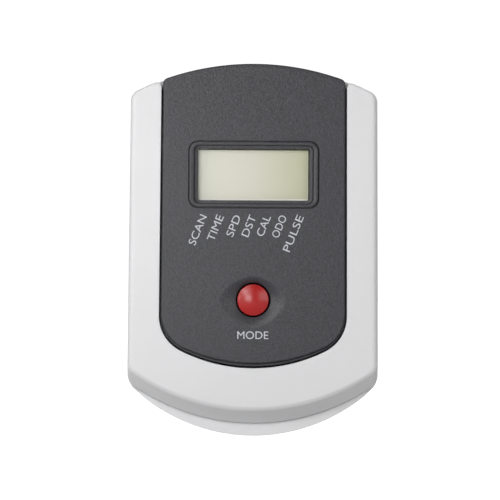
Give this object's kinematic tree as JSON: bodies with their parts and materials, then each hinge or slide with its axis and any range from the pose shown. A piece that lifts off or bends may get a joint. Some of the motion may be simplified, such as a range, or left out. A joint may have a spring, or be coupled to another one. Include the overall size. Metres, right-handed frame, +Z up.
{
  "type": "exercise bike console",
  "caption": "Hand-sized exercise-bike console: white case, dark face panel with a small LCD and a red push button, rear battery door and slide-on bracket socket.",
  "frame": {"origin": "centre of the bracket socket's flat rear face, on the back of the case", "axes": "+Z up along the case's long axis, +X to the user's right when facing the display, +Y backwards out of the bracket socket; the display faces -Y"},
  "size_m": [0.0978, 0.0359, 0.1453],
  "materials": {
    "white_plastic": "satin moulded ABS",
    "dark_plastic": "fine matt grain",
    "clear_window": "clear moulded window",
    "lcd_glass": "grey-green reflective display",
    "reflector_foil": "satin foil",
    "inner_plastic": "natural moulded plastic",
    "zebra_rubber": "layered elastomer",
    "red_plastic": "polished red",
    "switch_plastic": "black moulded",
    "black_plastic": "black moulded",
    "board_resin": "green solder mask",
    "blob_resin": "black epoxy",
    "can_sleeve": "dark sleeve",
    "contact_metal": "nickel-plated spring steel",
    "screw_steel": "zinc-plated",
    "cell_wrap": "plain dark wrap",
    "red_wire": "insulated wire",
    "black_wire": "insulated wire",
    "grey_wire": "insulated wire"
  },
  "bodies": {
    "housing": {"face_panel": "dark_plastic", "front_surround": "white_plastic", "rear_cover": "white_plastic", "bracket_socket": "white_plastic", "display_window": "clear_window", "lcd_front_glass": "lcd_glass", "lcd_rear_glass": "lcd_glass", "lcd_reflector": "reflector_foil", "lcd_holder": "inner_plastic", "zebra_strip_upper": "zebra_rubber", "zebra_strip_lower": "zebra_rubber", "tact_switch_body": "switch_plastic", "circuit_board": "board_resin", "chip_blob": "blob_resin", "capacitor": "can_sleeve", "crystal": "contact_metal", "speed_sensor_jack": "black_plastic", "pulse_jack": "black_plastic", "speed_sensor_lead": "grey_wire", "pulse_lead": "grey_wire", "battery_upper": "cell_wrap", "battery_lower": "cell_wrap", "battery_contact_upper": "contact_metal", "battery_contact_lower": "contact_metal", "battery_spring_upper": "contact_metal", "battery_spring_lower": "contact_metal", "battery_lead_red": "red_wire", "battery_lead_black": "black_wire", "case_screw_1": "screw_steel", "case_screw_2": "screw_steel", "case_screw_3": "screw_steel", "case_screw_4": "screw_steel", "socket_screw_1": "screw_steel", "socket_screw_2": "screw_steel", "socket_screw_3": "screw_steel", "socket_screw_4": "screw_steel", "pcb_screw_1": "screw_steel", "pcb_screw_2": "screw_steel", "pcb_screw_3": "screw_steel", "pcb_screw_4": "screw_steel", "panel_screw_1": "screw_steel", "panel_screw_2": "screw_steel", "panel_screw_3": "screw_steel", "panel_screw_4": "screw_steel"},
    "mode_button": {"mode_button": "red_plastic"},
    "switch_plunger": {"tact_switch_plunger": "switch_plastic"},
    "battery_door": {"battery_door": "white_plastic"}
  },
  "joints": [
    {"name": "mode_button_press", "type": "slide", "parent": "housing", "child": "mode_button", "axis": [0, 1, 0], "range_m": [0, 0.0008], "stiffness_N_per_m": 600, "springref_m": -0.0005},
    {"name": "switch_plunger_press", "type": "slide", "parent": "housing", "child": "switch_plunger", "axis": [0, 1, 0], "range_m": [0, 0.00064]},
    {"name": "battery_door_hinge", "type": "hinge", "parent": "housing", "child": "battery_door", "pos_m": [0, -0.0111, 0.0323], "axis": [-1, 0, 0], "range_deg": [0, 90]}
  ],
  "couplings": [
    {"joint": "switch_plunger_press", "follows": "mode_button_press", "ratio": 0.8}
  ]
}
